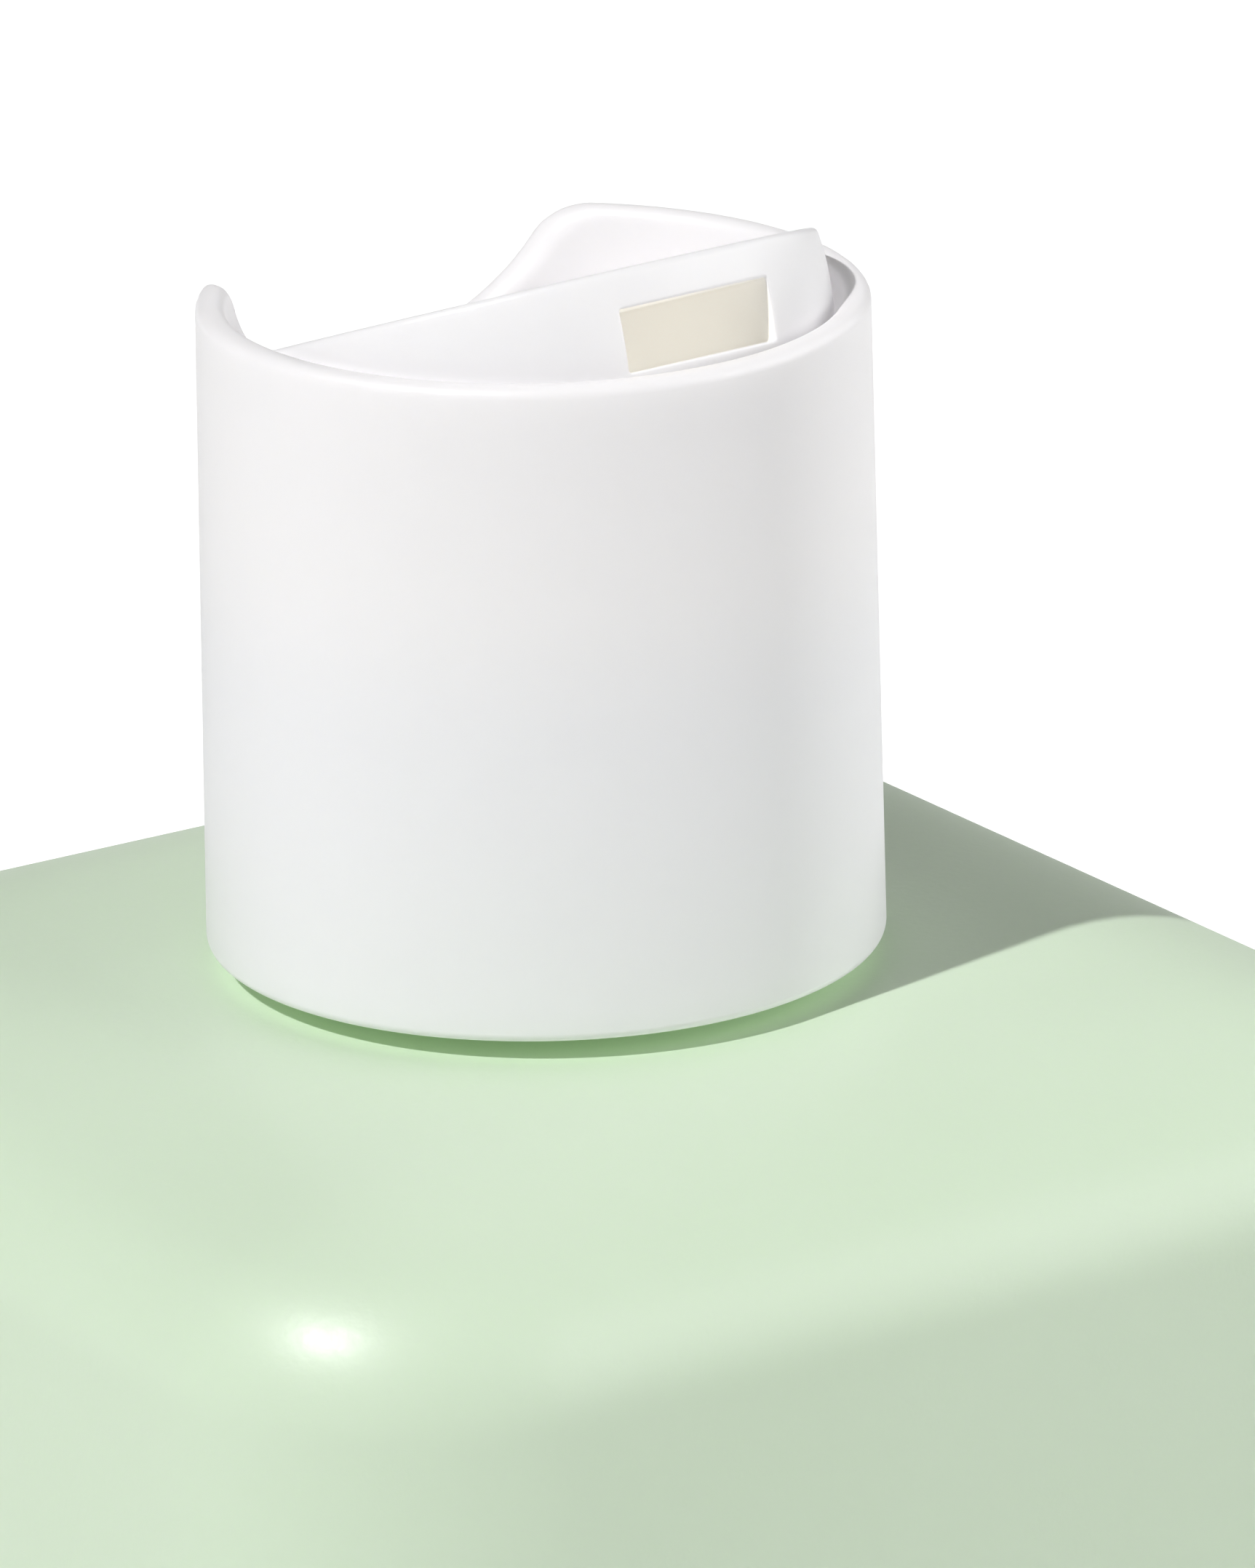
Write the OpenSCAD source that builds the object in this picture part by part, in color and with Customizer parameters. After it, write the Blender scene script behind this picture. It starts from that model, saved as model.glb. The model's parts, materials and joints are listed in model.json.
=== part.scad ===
// Bubble bath bottle: a blow-moulded bottle of rounded-square plan with a
// two-piece disc-top closure. Millimetres. The origin is the centre of the base,
// +Z is up, -Y is the front face and the side that the spout points to.
// The bottle is drawn with the disc tipped open, the way it pours.

/* [Bottle body] */
// Width across the two side faces
body_w = 60; // [54:0.5:72]
// Depth from the front face to the back face
body_d = 60; // [54:0.5:72]
// Height of the flat top of the shoulder above the base
body_h = 132; // [90:1:190]
// Radius of the upright corners, seen from above
corner_r = 12; // [11:0.5:15]
// Height that the shoulder takes to turn from side wall to flat top
shoulder_h = 7.5; // [7.1:0.1:8.5]
// Radius of the tighter arc, where the shoulder leaves the side wall
shoulder_r = 6.5; // [5.5:0.1:6.8]
// Thickness of the blown wall
wall = 1.1; // [0.8:0.1:1.5]
// Radius of the rounded edge round the base
base_r = 4; // [2.5:0.5:6]
// Rise of the domed push-up in the base
pushup_h = 1.6; // [0.8:0.1:2.4]
// Radius of the push-up where it meets the base
pushup_r = 19; // [14:0.5:21]

/* [Neck finish] */
// Height of the neck from the shoulder to its sealing land
neck_h = 17.1; // [16.5:0.1:17.5]
// Radius of the neck at the root of its thread
neck_r = 10.75; // [10.4:0.05:10.9]
// Radius of the bore through the neck
bore_r = 8.6; // [7.5:0.1:9]
// Pitch of the right-hand thread
thread_pitch = 3.18; // [3:0.02:3.4]
// Turns of thread on the neck, and inside the cap
thread_turns = 1.5; // [1.2:0.1:1.9]
// Depth of the thread from root to crest
thread_depth = 1.05; // [0.8:0.05:1.15]
// Distance from the land down to the upper end of the neck's thread
thread_start = 2.4; // [2:0.1:3]

/* [Cap] */
// Diameter at the lower edge of the skirt
cap_d = 28.1; // [27.8:0.1:29.5]
// Diameter at the rim, a little less because the mould has draft
rim_d = 27.5; // [27.3:0.1:28.5]
// Height of the cap from its lower edge to its rim
cap_h = 27.45; // [27:0.05:29]
// Gap between the shoulder and the lower edge of the cap
cap_gap = 0.9; // [0.5:0.1:1.2]
// Angle at which the tightened thread leaves the cap, spout toward +X
cap_angle = 3.2; // [-8:0.2:8]
// Radial clearance between the neck's thread and the cap's
thread_clear = 0.28; // [0.2:0.02:0.34]
// Thickness of the deck that divides the skirt from the disc's chamber
deck_t = 1.4; // [1:0.1:1.7]
// Thickness of the chamber wall at the rim
rim_t = 1.2; // [1.1:0.05:1.4]
// Rounding of the rim's two edges
rim_round = 0.5; // [0.3:0.05:0.55]
// Rounding of the skirt's lower outer edge
foot_round = 0.4; // [0.2:0.1:0.9]

/* [Finger scoop] */
// Radius of the scoop cut into the back of the rim
scoop_r = 8.9; // [8:0.1:9.4]
// Height of the scoop's centre above the rim
scoop_rise = 2.8; // [2.4:0.1:4]
// Radius of the soft blends that lead from the scoop up to the rim
scoop_blend = 2.2; // [1.4:0.1:2.6]

/* [Disc] */
// Angle by which the disc is tipped open
open_deg = 20.5; // [17:0.5:22]
// Depth of the hinge axis below the rim
hinge_depth = 1.7; // [1.6:0.1:2.2]
// Height of the disc's top above the hinge axis
disc_rise = 1.6; // [1.5:0.1:1.8]
// Thickness of the disc's top plate
disc_plate = 1.3; // [1:0.1:1.4]
// Thickness of the disc's curved side wall
disc_wall = 1; // [0.8:0.1:1.3]
// Depth of the side wall below the hinge axis at the spout
front_drop = 3.6; // [3.5:0.1:3.8]
// Running gap between the disc and the chamber wall
disc_gap = 0.3; // [0.2:0.05:0.4]
// Radius of the two hinge pins
pin_r = 0.9; // [0.7:0.05:1]
// Radial clearance of each pin in its socket
pin_clear = 0.08; // [0.05:0.01:0.1]
// Length of each pin inside its socket
pin_grip = 0.5; // [0.35:0.05:0.55]

/* [Spout and valve] */
// Width of the spout's mouth
mouth_w = 7.3; // [5:0.1:8]
// Height of the spout's mouth
mouth_h = 2.55; // [2.2:0.05:2.75]
// Depth of the mouth's upper edge below the disc's top
mouth_drop = 1.6; // [1.45:0.05:1.7]
// Thickness of the walls and floor of the spout's channel
channel_wall = 0.8; // [0.6:0.1:0.85]
// Fore and aft width of the pouring port
port_w = 2.1; // [1.6:0.1:2.2]
// Length of the pouring port across the disc
port_l = 4.2; // [3:0.1:4.6]
// Radius of the round valve under the disc
valve_r = 3.6; // [3.5:0.1:3.8]
// Wall of the valve's cup, measured out from the valve
cup_wall = 0.5; // [0.4:0.1:0.6]
// Running gap between the valve and its cup
valve_gap = 0.15; // [0.1:0.01:0.2]

/* [Seal] */
// Thickness of the foam liner ring on the land
liner_t = 1; // [0.8:0.05:1.2]
// Clearance above and below the liner ring
liner_clear = 0.05; // [0.03:0.01:0.1]

/* [Hidden] */
$fn = 96;

fine = 360;                                   // facets of the large round surfaces
eps = 0.01;                                   // overlap that keeps cuts clean
// Bottle
core_x = body_w / 2 - corner_r;               // half distance between corner axes
core_y = body_d / 2 - corner_r;
shoulder_big_r = (pow(corner_r, 2) - 2 * corner_r * shoulder_r + pow(shoulder_h, 2))
               / (2 * (shoulder_h - shoulder_r));
foot_min = 0.3;                               // least rounding inside the base edge
pushup_sphere_r = (pow(pushup_r, 2) + pow(pushup_h, 2)) / (2 * pushup_h);
land_z = body_h + neck_h;
// Threads
crest_w = thread_pitch * 0.28;                // width of a thread ridge at its crest
ridge_w = thread_pitch * 0.58;                // and at its root
ridge_sink = 0.5;                             // depth of a ridge inside its wall
thread_steps = 40;                            // facets per turn
fade_steps = 5;                               // facets over which a ridge runs out
fade_low = 0.2;                               // share of its depth left at the ends
cap_crest_r = neck_r + thread_clear;
cap_root_r = neck_r + thread_depth + thread_clear;
neck_thread_z = land_z - thread_start - thread_turns * thread_pitch;
// Cap
cap_z = body_h + cap_gap;
deck_z = land_z + liner_t + 2 * liner_clear;
deck_top = deck_z + deck_t;
rim_z = cap_z + cap_h;
rim_fillet = min(rim_round, rim_t / 2 - eps);
chamber_r = rim_d / 2 - rim_t;
mouth_chamfer = 0.5;                          // lead-in at the skirt's open end
scoop_z = rim_z + scoop_rise;
blend_over = 0.02;                            // blends end this far above the rim, so they cross it
blend_z = rim_z + blend_over - scoop_blend;
blend_x = sqrt(pow(scoop_r + scoop_blend, 2) - pow(scoop_z - blend_z, 2));
blend_share = scoop_r / (scoop_r + scoop_blend);
// Disc, measured from the hinge axis
hinge_z = rim_z - hinge_depth;
disc_r = chamber_r - disc_gap;
stop_gap = 0.3;                               // room left at each end of the travel
back_drop = (hinge_z - deck_top - stop_gap - disc_r * sin(open_deg)) / cos(open_deg);
skirt_slope = atan((front_drop - back_drop) / (2 * disc_r));
skirt_mid = (front_drop + back_drop) / 2;
pin_tip = chamber_r + pin_grip;
pin_end_gap = 0.1;                            // room past the end of each pin
mouth_top = disc_rise - mouth_drop;
mouth_bottom = mouth_top - mouth_h;
channel_back = valve_r + channel_wall;
stop_angle = 40;                              // place of the closed stops round the chamber
stop_w = 1.2;
stop_l = 1.9;                                 // reach of a stop in from the wall
// Valve
seat_r = hinge_z - deck_top;
ball_r = seat_r - valve_gap;
cup_r = valve_r + cup_wall;
cup_top = 0.9;                                // height of the cup above the deck

// Section of the body's edge, from a corner's axis out to the side wall. The
// top turns through a wide arc and then a tighter one, and the inset t gives
// the same section for the inside of the wall.
module edge_section(t) {
    small_c = [corner_r - shoulder_r, body_h - shoulder_h];
    big_c = [0, body_h - shoulder_big_r];
    toward = (small_c - big_c) / norm(small_c - big_c);
    meet = big_c + toward * shoulder_big_r;
    foot = max(base_r - t, foot_min);
    intersection() {
        translate(big_c) circle(shoulder_big_r - t, $fn = fine);
        polygon([[0, small_c[1]], small_c, meet + toward, [0, body_h + 1]]);
    }
    intersection() {
        translate(small_c) circle(shoulder_r - t);
        polygon([small_c, [corner_r + 1, small_c[1]], [corner_r + 1, body_h + 1], meet + toward]);
    }
    translate([0, t + foot]) square([corner_r - t, small_c[1] - t - foot]);
    translate([0, t]) square([corner_r - t - foot, foot + eps]);
    intersection() {
        translate([corner_r - t - foot, t + foot]) circle(foot);
        translate([corner_r - t - foot, t]) square([foot, foot]);
    }
}

// Whole section across the body, mirrored about its middle
module body_section(core, t) {
    for (side = [0, 1]) mirror([side, 0]) translate([core, 0]) edge_section(t);
    translate([-core - eps, t]) square([2 * core + 2 * eps, body_h - 2 * t]);
}

// Solid of rounded-square plan: four turned corners and two crossed slabs
module rounded_body(t) {
    for (i = [0 : 3]) {
        x = (i == 0 || i == 3) ? core_x : -core_x;
        y = i < 2 ? core_y : -core_y;
        translate([x, y, 0]) rotate(90 * i) rotate_extrude(angle = 90) edge_section(t);
    }
    rotate([90, 0, 0]) linear_extrude(2 * core_y, center = true) body_section(core_x, t);
    rotate([90, 0, 90]) linear_extrude(2 * core_x, center = true) body_section(core_y, t);
}

// Domed push-up, thicker by t on the inside
module pushup(t) {
    translate([0, 0, pushup_h - pushup_sphere_r]) sphere(pushup_sphere_r + t, $fn = fine);
}

// One ridge of a right-hand thread, from z upward, that runs out at both ends.
// root is the radius inside the wall, crest the radius at full depth.
module thread_ridge(root, crest, turns, z) {
    steps = ceil(turns * thread_steps);
    function full(i) = min(1, i / fade_steps, (steps - i) / fade_steps);
    function ring(i) = let (
            a = i * 360 / thread_steps,
            r = root + (crest - root) * (fade_low + (1 - fade_low) * full(i)),
            mid = z + thread_pitch * i / thread_steps)
        [for (p = [[root, -ridge_w], [r, -crest_w], [r, crest_w], [root, ridge_w]])
            [p[0] * cos(a), p[0] * sin(a), mid + p[1] / 2]];
    points = [for (i = [0 : steps]) each ring(i)];
    function side(i, j) = let (a = 4 * i + j, b = 4 * i + (j + 1) % 4)
        crest > root ? [[a, b, b + 4], [a, b + 4, a + 4]] : [[a, b + 4, b], [a, a + 4, b + 4]];
    last = 4 * steps;
    ends = crest > root
        ? [[3, 2, 1, 0], [last, last + 1, last + 2, last + 3]]
        : [[0, 1, 2, 3], [last + 3, last + 2, last + 1, last]];
    polyhedron(points, concat([for (i = [0 : steps - 1]) for (j = [0 : 3]) each side(i, j)], ends));
}

module bottle() {
    color([0.83, 0.91, 0.81]) difference() {
        union() {
            difference() {
                rounded_body(0);
                pushup(0);
                difference() {
                    rounded_body(wall);
                    pushup(wall);
                }
            }
            translate([0, 0, body_h - wall]) cylinder(h = neck_h + wall, r = neck_r);
            thread_ridge(neck_r - ridge_sink, neck_r + thread_depth, thread_turns, neck_thread_z);
        }
        translate([0, 0, body_h - 2 * wall]) cylinder(h = neck_h + 3 * wall, r = bore_r);
    }
}

module seal_liner() {
    color([0.93, 0.93, 0.9]) translate([0, 0, land_z + liner_clear]) difference() {
        cylinder(h = liner_t, r = neck_r);
        translate([0, 0, -1]) cylinder(h = liner_t + 2, r = bore_r);
    }
}

// Half section of the cap: skirt, deck and chamber wall, turned about the axis
module cap_section() {
    skirt_r = cap_d / 2;
    rim_r = rim_d / 2;
    rim_low = rim_z - rim_fillet;
    polygon([
        [cap_root_r, cap_z + mouth_chamfer], [cap_root_r + mouth_chamfer, cap_z],
        [skirt_r - foot_round, cap_z], [skirt_r - foot_round, cap_z + foot_round],
        [skirt_r, cap_z + foot_round], [rim_r, rim_low], [chamber_r, rim_low],
        [chamber_r, deck_top], [0, deck_top], [0, deck_z], [cap_root_r, deck_z]]);
    translate([skirt_r - foot_round, cap_z + foot_round]) circle(foot_round);
    translate([rim_r - rim_fillet, rim_low]) circle(rim_fillet);
    translate([chamber_r + rim_fillet, rim_low]) circle(rim_fillet);
    translate([chamber_r + rim_fillet, rim_low]) square([rim_t - 2 * rim_fillet, rim_fillet]);
}

// Outline of the finger scoop in X and Z, with its blends up to the rim
module scoop_outline() {
    blend = [blend_x, blend_z];
    meet = [0, scoop_z] + (blend - [0, scoop_z]) * blend_share;
    translate([0, scoop_z]) circle(scoop_r);
    for (side = [0, 1]) mirror([side, 0]) difference() {
        polygon([meet, blend, [blend_x, rim_z + 1], [meet[0] - 1, rim_z + 1], [meet[0] - 1, meet[1]]]);
        translate(blend) circle(scoop_blend);
    }
}

// Oblong port, long across the disc, drawn along Z
module port(h) {
    reach = port_l / 2 - port_w / 2;
    for (x = [-reach, reach]) translate([x, 0, 0]) cylinder(h = h, r = port_w / 2);
    translate([-reach, -port_w / 2, 0]) cube([2 * reach, port_w, h]);
}

module cap_shell() {
    color([0.95, 0.95, 0.95]) difference() {
        union() {
            rotate_extrude() cap_section();
            translate([0, 0, deck_top - eps]) cylinder(h = cup_top + eps, r = cup_r);
            // stops under the front of the closed disc
            for (a = [-stop_angle, stop_angle]) rotate(cap_angle + a)
                translate([-stop_w / 2, -chamber_r - eps, deck_top - eps])
                    cube([stop_w, stop_l, hinge_z - front_drop - stop_gap - deck_top + eps]);
            thread_ridge(cap_root_r + ridge_sink, cap_crest_r, thread_turns,
                         neck_thread_z - thread_pitch / 2);
        }
        translate([0, 0, hinge_z]) sphere(seat_r);
        rotate(cap_angle) {
            translate([0, 0, deck_z - 1]) port(deck_t + 2);
            translate([0, 0, hinge_z]) rotate([0, 90, 0])
                cylinder(h = 2 * (pin_tip + pin_end_gap), r = pin_r + pin_clear, center = true);
            rotate([90, 0, 180]) linear_extrude(cap_d) scoop_outline();
        }
    }
}

// The disc as it lies when closed, with the hinge axis at the origin
module closed_disc() {
    difference() {
        union() {
            // top plate and the round side wall, which follows a sphere
            difference() {
                rotate_extrude() difference() {
                    intersection() {
                        circle(disc_r);
                        translate([0, -front_drop]) square([disc_r, front_drop + disc_rise]);
                    }
                    intersection() {
                        circle(disc_r - disc_wall);
                        translate([-eps, -disc_r]) square([disc_r, disc_r + disc_rise - disc_plate]);
                    }
                }
                translate([0, 0, -skirt_mid]) rotate([skirt_slope, 0, 0])
                    translate([-2 * disc_r, -2 * disc_r, -2 * disc_r]) cube([4 * disc_r, 4 * disc_r, 2 * disc_r]);
            }
            // walls and floor of the spout's channel
            intersection() {
                sphere(disc_r);
                translate([-mouth_w / 2 - channel_wall, -disc_r, mouth_bottom - channel_wall])
                    cube([mouth_w + 2 * channel_wall, disc_r + channel_back,
                          disc_rise - disc_plate / 2 - mouth_bottom + channel_wall]);
            }
            // valve: a round post whose end follows the seat
            intersection() {
                sphere(ball_r);
                translate([0, 0, -ball_r]) cylinder(h = ball_r + mouth_bottom - eps, r = valve_r);
            }
        }
        translate([-mouth_w / 2, -disc_r - 1, mouth_bottom])
            cube([mouth_w, disc_r + 1 + valve_r - channel_wall, mouth_h]);
        rotate([open_deg, 0, 0]) translate([0, 0, -seat_r]) port(seat_r + (mouth_bottom + mouth_top) / 2);
    }
    for (side = [0, 1]) mirror([side, 0, 0]) rotate([0, 90, 0])
        translate([0, 0, disc_r - disc_wall]) cylinder(h = pin_tip - disc_r + disc_wall, r = pin_r);
}

module press_disc() {
    color([0.97, 0.97, 0.97]) rotate(cap_angle) translate([0, 0, hinge_z])
        rotate([-open_deg, 0, 0]) closed_disc();
}

bottle();
seal_liner();
cap_shell();
press_disc();
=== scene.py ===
# %% [markdown]
# A bubble bath bottle with a disc-top cap. This lesson dresses a finished set of
# solids: a blow-moulded bottle, a foam liner, a moulded cap and the disc that
# tips open in it. The solids give every place and every size, so the first step
# is to load them and to keep the box that they fill.

# %% Load the solids
import json
from math import asin, atan2, ceil, copysign, cos, hypot, pi, radians, sin, sqrt, tan

import bmesh
import bpy
from mathutils import Matrix, Vector

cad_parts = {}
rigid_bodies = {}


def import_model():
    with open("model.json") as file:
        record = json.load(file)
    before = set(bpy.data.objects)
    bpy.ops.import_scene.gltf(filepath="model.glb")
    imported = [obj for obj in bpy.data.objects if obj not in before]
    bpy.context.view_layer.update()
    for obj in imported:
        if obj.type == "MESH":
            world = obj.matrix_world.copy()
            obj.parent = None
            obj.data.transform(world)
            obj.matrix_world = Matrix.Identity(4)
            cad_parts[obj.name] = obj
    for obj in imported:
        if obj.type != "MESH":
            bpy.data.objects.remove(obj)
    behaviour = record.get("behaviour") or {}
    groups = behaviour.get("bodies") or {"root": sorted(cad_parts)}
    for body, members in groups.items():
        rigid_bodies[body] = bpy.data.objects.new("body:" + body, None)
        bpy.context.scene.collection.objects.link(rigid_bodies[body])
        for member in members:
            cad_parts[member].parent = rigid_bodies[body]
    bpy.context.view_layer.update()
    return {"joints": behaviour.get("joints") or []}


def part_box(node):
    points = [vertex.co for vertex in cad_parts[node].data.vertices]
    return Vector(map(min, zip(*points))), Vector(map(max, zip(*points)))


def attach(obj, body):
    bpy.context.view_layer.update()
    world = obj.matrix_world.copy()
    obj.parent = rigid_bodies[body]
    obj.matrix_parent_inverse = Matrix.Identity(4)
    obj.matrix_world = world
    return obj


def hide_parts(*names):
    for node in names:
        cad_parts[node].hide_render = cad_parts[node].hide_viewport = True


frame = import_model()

# %% [markdown]
# Plastic packs are drawn in millimetres, so the script works in millimetres too
# and turns them into metres only when a mesh is made. What the solids already
# know, such as the height of the cap or the place of the hinge, is read from
# them. Only sizes inside a solid, such as a radius, are written out.

# %% Sizes that the pieces share
MM = 0.001
bottle_low, bottle_high = [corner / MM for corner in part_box("bottle")]
cap_low, cap_high = [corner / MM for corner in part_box("cap_shell")]
liner_low, liner_high = [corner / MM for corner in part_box("seal_liner")]
joints = {joint["name"]: joint for joint in frame["joints"]}
hinge_z = joints["disc_tilt"]["pos_m"][2] / MM
open_angle = radians(joints["disc_tilt"]["range_deg"][1])
hinge_axis = joints["disc_tilt"]["axis"]
cap_angle = atan2(hinge_axis[1], hinge_axis[0])   # where the thread leaves the cap when it is tight

land_z = bottle_high.z                            # end of the neck, which the liner seals on
rim_z = cap_high.z

NECK_R = 10.75
BORE_R = 8.6
PITCH = 3.18
THREAD_TURNS = 1.5
THREAD_DEPTH = 1.05
THREAD_DROP = 2.4                                 # from the land down to the thread's end
thread_z = land_z - THREAD_DROP - THREAD_TURNS * PITCH
print(f"Bottle {bottle_high.x * 2:.1f} mm wide, land at {land_z:.1f} mm, hinge at {hinge_z:.1f} mm")

# %% [markdown]
# Nearly every surface here is a loft: a stack of rings of points, joined by
# four-sided faces. A lathe-like form has round rings, the body has
# rounded-square ones, and a ring of one point closes an end. Sweeping a profile
# with a Screw modifier would also work for the round pieces, but a loft can
# change the shape of its rings on the way, as a blown shoulder does.

# %% Rings into a mesh
SHARP = radians(35)


def loft(name, rings, closed=False):
    """Make a piece from rings of points in millimetres; closed joins the last ring to the first"""
    points, starts, faces = [], [], []
    for ring in rings:
        starts.append(len(points))
        points += ring
    for lower in range(len(rings) - (0 if closed else 1)):
        upper = (lower + 1) % len(rings)
        for step in range(max(len(rings[lower]), len(rings[upper]))):
            face = []
            for row, column in ((lower, step), (lower, step + 1), (upper, step + 1), (upper, step)):
                index = starts[row] + column % len(rings[row])
                if index not in face:
                    face.append(index)
            faces.append(face)
    mesh = bpy.data.meshes.new(name)
    mesh.from_pydata([Vector(point) * MM for point in points], [], faces)
    piece = bpy.data.objects.new(name, mesh)
    bpy.context.scene.collection.objects.link(piece)
    return piece


def smooth_shade(piece):
    """Shade a piece smoothly, apart from edges that fold by more than the sharp angle"""
    piece.data.shade_smooth()
    piece.data.set_sharp_from_angle(angle=SHARP)
    print(piece.name, "has", len(piece.data.polygons), "faces")


def between(start, end, steps):
    """Evenly spaced numbers from start to end, both included"""
    return [start + (end - start) * step / steps for step in range(steps + 1)]


def arc(centre, radius, start, end, steps):
    """Points of an arc in a section, as distances out and up; angles in degrees"""
    return [(centre[0] + radius * cos(radians(angle)), centre[1] + radius * sin(radians(angle)))
            for angle in between(start, end, steps)]


def ease(share):
    """A soft step from 0 to 1"""
    share = min(max(share, 0), 1)
    return share * share * (3 - 2 * share)


# %% [markdown]
# Both threads are one rule: a ridge that climbs one pitch a turn, with soft
# flanks, and that runs out at each end. The rule says how far the ridge stands
# out at any angle and height, and the neck's and the cap's rings are pushed out
# or in by it. A swept ridge laid on a plain neck would leave faces inside the
# wall, and this way the neck stays one skin, as the blown and trimmed one is.

# %% The thread
CREST_HALF = PITCH * 0.14
ROOT_HALF = PITCH * 0.27
RUN_OUT = 0.125
THREAD_ROW = 0.1


def thread_rise(angle, z, start_z):
    """Share of the thread's depth, 0 to 1, that stands out at an angle and a height"""
    rise = 0
    for lap in range(ceil(THREAD_TURNS)):
        along = (angle / (2 * pi)) % 1 + lap
        if along < THREAD_TURNS:
            run_out = min(along, THREAD_TURNS - along) / RUN_OUT
            away = abs(z - start_z - along * PITCH)
            flank = 1 - ease((away - CREST_HALF) / (ROOT_HALF - CREST_HALF))
            rise = max(rise, ease(run_out) * flank)
    return rise


def thread_heights(start_z):
    """Close-set heights that cover a thread from below its start to above its end"""
    low = start_z - ROOT_HALF
    high = start_z + THREAD_TURNS * PITCH + ROOT_HALF
    return between(low, high, round((high - low) / THREAD_ROW))


print(f"Thread of {THREAD_TURNS} turns, {PITCH} mm pitch, {THREAD_DEPTH} mm deep")

# %% [markdown]
# The bottle is extrusion blow moulded: a soft tube of HDPE is caught between two
# mould halves and blown against them, which gives an even wall, large soft
# radii and a domed base. Its plan is a square with round corners. Each point
# round the plan is kept as a place on an inner square and a way out from it, so
# one number, the distance out, swells or shrinks the whole ring.

# %% Plan of the body
CORNER_R = 12
SIDE_STEPS = 16
CORNER_STEPS = 24
core = bottle_high.x - CORNER_R


def turned(x, y, quarter):
    """A plan point turned by quarter turns"""
    return Matrix.Rotation(quarter * pi / 2, 2) @ Vector((x, y))


columns = []
for quarter in range(4):
    for step in range(SIDE_STEPS):
        along = core * (2 * step / SIDE_STEPS - 1)
        columns.append((turned(core, along, quarter), turned(1, 0, quarter)))
    for step in range(CORNER_STEPS):
        angle = pi / 2 * step / CORNER_STEPS
        columns.append((turned(core, core, quarter), turned(cos(angle), sin(angle), quarter)))


def square_ring(out, z):
    """Rounded-square ring at a distance out from the core square"""
    return [(*(place + way * out), z) for place, way in columns]


print("Plan of the body:", len(columns), "points")

# %% [markdown]
# Round rings on the bottle have to match the points of the square ones, so they
# use the angles at which the square ring's points lie.

# %% Round rings that match the square ones
TOP_EDGE = 4                                  # distance out at which the top turns into the flat
plan_angles = [atan2(y, x) for x, y, z in square_ring(TOP_EDGE, 0)]


def round_ring(radius, z, angles=plan_angles):
    """Round ring with a point at each angle"""
    return [(radius * cos(angle), radius * sin(angle), z) for angle in angles]


def blend_rings(first, second, share):
    """A ring between two others"""
    return [tuple(Vector(a).lerp(Vector(b), share)) for a, b in zip(first, second)]


def neck_ring(z):
    """Ring of the neck's outside, with its thread"""
    return [((NECK_R + THREAD_DEPTH * thread_rise(angle, z, thread_z)) * cos(angle),
             (NECK_R + THREAD_DEPTH * thread_rise(angle, z, thread_z)) * sin(angle), z)
            for angle in plan_angles]


# %% [markdown]
# The shoulder is two arcs: a tight one that leaves the side wall and a wide one
# that runs up to the flat top. The base turns in over a small radius to a ring
# that it stands on, and inside that ring it is domed upward so that it doesn't
# rock. The same section, moved in by the wall, makes the inside.

# %% Section of the body
WALL = 1.1
CAP_GAP = 0.9
TOP_Z = cap_low.z - CAP_GAP
SHOULDER_H = 7.5
TIGHT_R = 6.5
BASE_R = 4
PUSHUP_H = 1.6
PUSHUP_R = 19
tight_out = CORNER_R - TIGHT_R
tight_z = TOP_Z - SHOULDER_H
wide_r = (CORNER_R ** 2 - 2 * CORNER_R * TIGHT_R + SHOULDER_H ** 2) / (2 * (SHOULDER_H - TIGHT_R))
wide_z = TOP_Z - wide_r
meet = atan2(tight_z - wide_z, tight_out)
dome_r = (PUSHUP_R ** 2 + PUSHUP_H ** 2) / (2 * PUSHUP_H)


def top_height(x, y, inset):
    """Height of the wide arc of the shoulder over a plan point"""
    out = hypot(max(abs(x) - core, 0), max(abs(y) - core, 0))
    return wide_z + sqrt((wide_r - inset) ** 2 - out ** 2)


def wall_section(inset):
    """Distances out and heights from the base edge up to the edge of the flat top"""
    wide = wide_r - inset
    section = arc((CORNER_R - BASE_R, BASE_R), BASE_R - inset, -90, 0, 10)
    section += [(CORNER_R - inset, z) for z in between(BASE_R, tight_z, 14)[1:-1]]
    section += arc((tight_out, tight_z), TIGHT_R - inset, 0, meet * 180 / pi, 18)
    section += arc((0, wide_z), wide, meet * 180 / pi, 90 - asin(TOP_EDGE / wide) * 180 / pi, 6)[1:]
    return section


def body_rings(inset, neck_radius):
    """Rings from the middle of the base up to a circle where the neck starts"""
    dome = dome_r + inset
    rings = [[(0, 0, PUSHUP_H + inset)]]
    edge = sqrt(dome ** 2 - (dome_r - PUSHUP_H + inset) ** 2)
    for r in between(0, edge, 10)[1:]:
        rings.append(round_ring(r, PUSHUP_H - dome_r + sqrt(dome ** 2 - r ** 2)))
    foot = square_ring(CORNER_R - BASE_R, inset)
    rings += [blend_rings(rings[-1], foot, share) for share in (0.33, 0.67)]
    rings += [square_ring(out, z) for out, z in wall_section(inset)]
    flat_edge, neck = rings[-1], round_ring(neck_radius, 0)
    for share in between(0, 1, 8)[1:]:
        ring = blend_rings(flat_edge, neck, share)
        rings.append([(x, y, top_height(x, y, inset)) for x, y, z in ring])
    return rings


# %% [markdown]
# The skin runs in one loop: up the outside of the body, up the threaded neck,
# over the land that the liner seals on, down the bore and back down the inside
# wall. One closed skin is what a blown shell is, and it can be measured or
# printed as it stands.

# %% The bottle
NECK_FILLET = 0.5
LAND_ROUND = 0.3
BORE_ROUND = 0.5

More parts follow.
